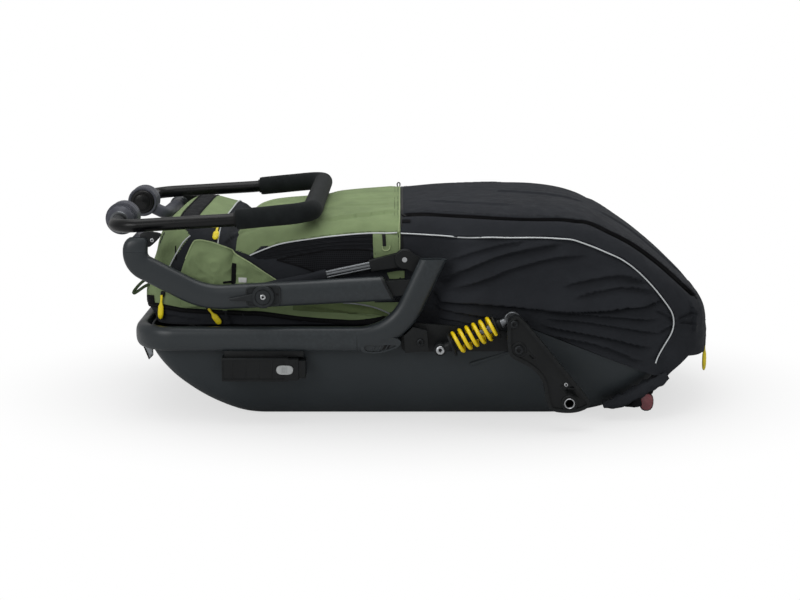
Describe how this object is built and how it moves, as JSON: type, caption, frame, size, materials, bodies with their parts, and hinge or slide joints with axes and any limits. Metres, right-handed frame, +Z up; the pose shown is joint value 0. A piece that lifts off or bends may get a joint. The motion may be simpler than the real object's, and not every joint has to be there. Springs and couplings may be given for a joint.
{
  "type": "dog bike trailer",
  "caption": "Dog bike trailer folded flat with its wheels off: frame, swing arms, sprung shocks, push handle, floor tub and folded fabric cabin",
  "frame": {"origin": "middle of the whole box, at the height of the flat floor that the tub lies on", "axes": "+Z up, +X towards the trailer's rear, +Y towards its right side"},
  "size_m": [1.1239, 0.6956, 0.39],
  "materials": {
    "tub": "smooth dark anthracite moulded shell",
    "mat": "grey padded mat",
    "frame": "satin anthracite coated aluminium tube",
    "steel": "bright fasteners, bushes and damper rods",
    "black_plastic": "black glass-filled plastic",
    "slate_plastic": "slate grey hub castings",
    "gloss_tube": "gloss black coat",
    "foam": "matte black foam",
    "aluminium": "brushed aluminium bow",
    "reflective": "grey reflective tab",
    "reflector": "dark red reflector",
    "green_fabric": "sage green coated fabric",
    "black_fabric": "black coated fabric",
    "damper_black": "black damper body",
    "spring_yellow": "yellow coated coil spring",
    "button_grey": "grey release button",
    "pull_yellow": "yellow cord pull"
  },
  "bodies": {
    "root": {"floor_tub": "tub", "floor_mat": "mat", "lower_frame": "frame", "frame_corner_left": "frame", "frame_corner_right": "frame", "hinge_pin_left": "steel", "hinge_pin_right": "steel", "bow_bracket_left": "black_plastic", "bow_bracket_right": "black_plastic", "bow_pin_left": "steel", "bow_pin_right": "steel", "suspension_bracket_left": "black_plastic", "suspension_bracket_right": "black_plastic", "arm_pivot_bolt_left": "steel", "arm_pivot_bolt_right": "steel", "shock_front_bolt_left": "steel", "shock_front_bolt_right": "steel", "tow_socket": "black_plastic", "front_tab": "reflective", "rear_reflector": "reflector", "front_cover": "green_fabric", "roof_cover": "green_fabric", "rear_cover": "black_fabric"},
    "upper_frame": {"upper_tube_left": "frame", "upper_tube_right": "frame", "upper_cross_tube": "frame", "hinge_arm_left": "black_plastic", "hinge_arm_right": "black_plastic", "latch_plate_left": "black_plastic", "latch_plate_right": "black_plastic", "hub_bracket_left": "slate_plastic", "hub_bracket_right": "slate_plastic"},
    "handle": {"handle_tube": "gloss_tube", "foam_grip": "foam", "hub_shell_left": "slate_plastic", "hub_shell_right": "slate_plastic"},
    "bow": {"cabin_bow": "aluminium", "bow_knuckle_left": "black_plastic", "bow_knuckle_right": "black_plastic"},
    "knob_left": {"latch_knob_left": "black_plastic"},
    "knob_right": {"latch_knob_right": "black_plastic"},
    "button_left": {"hub_button_left": "gloss_tube"},
    "button_right": {"hub_button_right": "gloss_tube"},
    "arm_left": {"swing_arm_left": "black_plastic", "axle_bush_left": "steel", "shock_rear_pin_left": "steel"},
    "arm_right": {"swing_arm_right": "black_plastic", "axle_bush_right": "steel", "shock_rear_pin_right": "steel"},
    "shock_left": {"damper_body_left": "damper_black", "coil_spring_left": "spring_yellow"},
    "shock_right": {"damper_body_right": "damper_black", "coil_spring_right": "spring_yellow"},
    "rod_left": {"damper_rod_left": "steel"},
    "rod_right": {"damper_rod_right": "steel"},
    "tow_release": {"tow_button": "button_grey"},
    "pull_front": {"zip_pull_front": "pull_yellow"},
    "pull_side": {"zip_pull_side": "pull_yellow"},
    "pull_top": {"zip_pull_top": "pull_yellow"},
    "pull_rear": {"zip_pull_rear": "pull_yellow"}
  },
  "joints": [
    {"name": "frame_fold", "type": "hinge", "parent": "root", "child": "upper_frame", "pos_m": [0.00771, 0, 0.246], "axis": [0, 1, 0], "range_deg": [0, 118], "deforming": ["front_cover", "roof_cover", "rear_cover"]},
    {"name": "handle_fold", "type": "hinge", "parent": "upper_frame", "child": "handle", "pos_m": [-0.533, 0, 0.3455], "axis": [0, 1, 0], "range_deg": [-160, 0]},
    {"name": "bow_fold", "type": "hinge", "parent": "root", "child": "bow", "pos_m": [-0.019, 0, 0.291], "axis": [0, 1, 0], "range_deg": [0, 95]},
    {"name": "knob_turn_left", "type": "hinge", "parent": "upper_frame", "child": "knob_left", "pos_m": [-0.264, -0.3, 0.23176], "axis": [0, 1, 0], "range_deg": [0, 90]},
    {"name": "knob_turn_right", "type": "hinge", "parent": "upper_frame", "child": "knob_right", "pos_m": [-0.264, 0.3, 0.23176], "axis": [0, 1, 0], "range_deg": [0, 90]},
    {"name": "button_press_left", "type": "slide", "parent": "upper_frame", "child": "button_left", "axis": [0, -1, 0], "range_m": [0, 0.004], "stiffness_N_per_m": 600, "springref_m": -0.002},
    {"name": "button_press_right", "type": "slide", "parent": "upper_frame", "child": "button_right", "axis": [0, 1, 0], "range_m": [0, 0.004], "stiffness_N_per_m": 600, "springref_m": -0.002},
    {"name": "arm_swing_left", "type": "hinge", "parent": "root", "child": "arm_left", "pos_m": [0.177, -0.3, 0.146], "axis": [0, 1, 0], "range_deg": [-15, 0], "stiffness_Nm_per_rad": 30, "springref_deg": 5.73},
    {"name": "arm_swing_right", "type": "hinge", "parent": "root", "child": "arm_right", "pos_m": [0.177, 0.3, 0.146], "axis": [0, 1, 0], "range_deg": [-15, 0], "stiffness_Nm_per_rad": 30, "springref_deg": 5.73},
    {"name": "shock_tilt_left", "type": "hinge", "parent": "root", "child": "shock_left", "pos_m": [0.043, -0.3012, 0.138], "axis": [0, 1, 0], "range_deg": [-0.6, 0]},
    {"name": "shock_tilt_right", "type": "hinge", "parent": "root", "child": "shock_right", "pos_m": [0.043, 0.3012, 0.138], "axis": [0, 1, 0], "range_deg": [-0.6, 0]},
    {"name": "shock_stroke_left", "type": "slide", "parent": "shock_left", "child": "rod_left", "axis": [0.9207, 0, 0.3904], "range_m": [-0.0125, 0], "deforming": ["coil_spring_left"]},
    {"name": "shock_stroke_right", "type": "slide", "parent": "shock_right", "child": "rod_right", "axis": [0.9207, 0, 0.3904], "range_m": [-0.0125, 0], "deforming": ["coil_spring_right"]},
    {"name": "tow_release_press", "type": "slide", "parent": "root", "child": "tow_release", "axis": [0, 1, 0], "range_m": [0, 0.004], "stiffness_N_per_m": 600, "springref_m": -0.002},
    {"name": "pull_front_swing", "type": "hinge", "parent": "root", "child": "pull_front", "pos_m": [-0.447, -0.2288, 0.225], "axis": [-1, 0, 0], "range_deg": [0, 80]},
    {"name": "pull_side_swing", "type": "hinge", "parent": "root", "child": "pull_side", "pos_m": [-0.366, -0.243, 0.198], "axis": [-1, 0, 0], "range_deg": [0, 80]},
    {"name": "pull_top_swing", "type": "hinge", "parent": "upper_frame", "child": "pull_top", "pos_m": [-0.35, -0.2287, 0.3165], "axis": [-1, 0, 0], "range_deg": [0, 80]},
    {"name": "pull_rear_swing", "type": "hinge", "parent": "root", "child": "pull_rear", "pos_m": [0.5586, 0, 0.09], "axis": [0, -1, 0], "range_deg": [0, 80]}
  ],
  "couplings": [
    {"joint": "bow_fold", "follows": "frame_fold", "ratio": 0.8},
    {"joint": "shock_tilt_left", "follows": "arm_swing_left", "ratio": 0.035},
    {"joint": "shock_tilt_right", "follows": "arm_swing_right", "ratio": 0.035},
    {"joint": "shock_stroke_left", "follows": "arm_swing_left", "m_per_rad": 0.0456},
    {"joint": "shock_stroke_right", "follows": "arm_swing_right", "m_per_rad": 0.0456}
  ]
}
